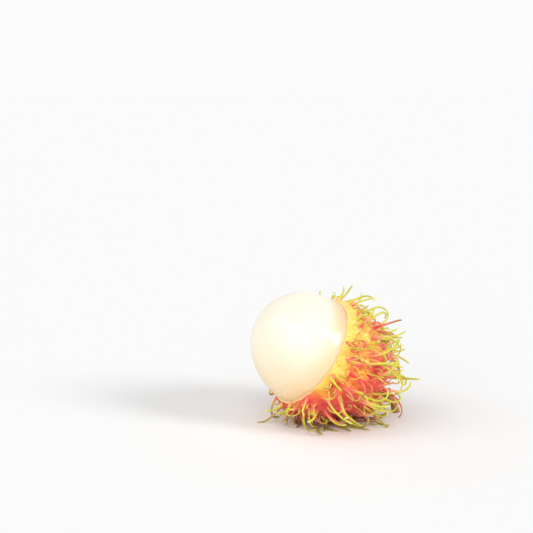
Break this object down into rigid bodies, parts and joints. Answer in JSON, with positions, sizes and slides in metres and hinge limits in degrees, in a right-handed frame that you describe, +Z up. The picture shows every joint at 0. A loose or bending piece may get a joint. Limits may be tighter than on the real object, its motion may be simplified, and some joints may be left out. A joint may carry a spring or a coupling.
{
  "type": "opened rambutan half",
  "caption": "Opened rambutan: the stalk half of a spiny red and yellow rind with the peeled white flesh still seated in it, lying on its soft spines.",
  "frame": {"origin": "under the middle of the bounding box, on the surface the fruit lies on", "axes": "+Z up; the fruit's axis lies in the XZ plane, with the flesh facing -X and tilted up and the stalk leaving towards +X and down"},
  "size_m": [0.0578, 0.0576, 0.0451],
  "materials": {
    "rind": "satin fruit rind, yellow at the cut turning orange and red, with pink spines that are yellow-green at their tips",
    "flesh": "moist, milky white and slightly translucent",
    "calyx": "dry, dull olive brown",
    "stalk": "dry brown bark with a pale cut end"
  },
  "bodies": {
    "root": {"rind": "rind", "flesh": "flesh", "calyx": "calyx", "stalk": "stalk"}
  },
  "joints": []
}
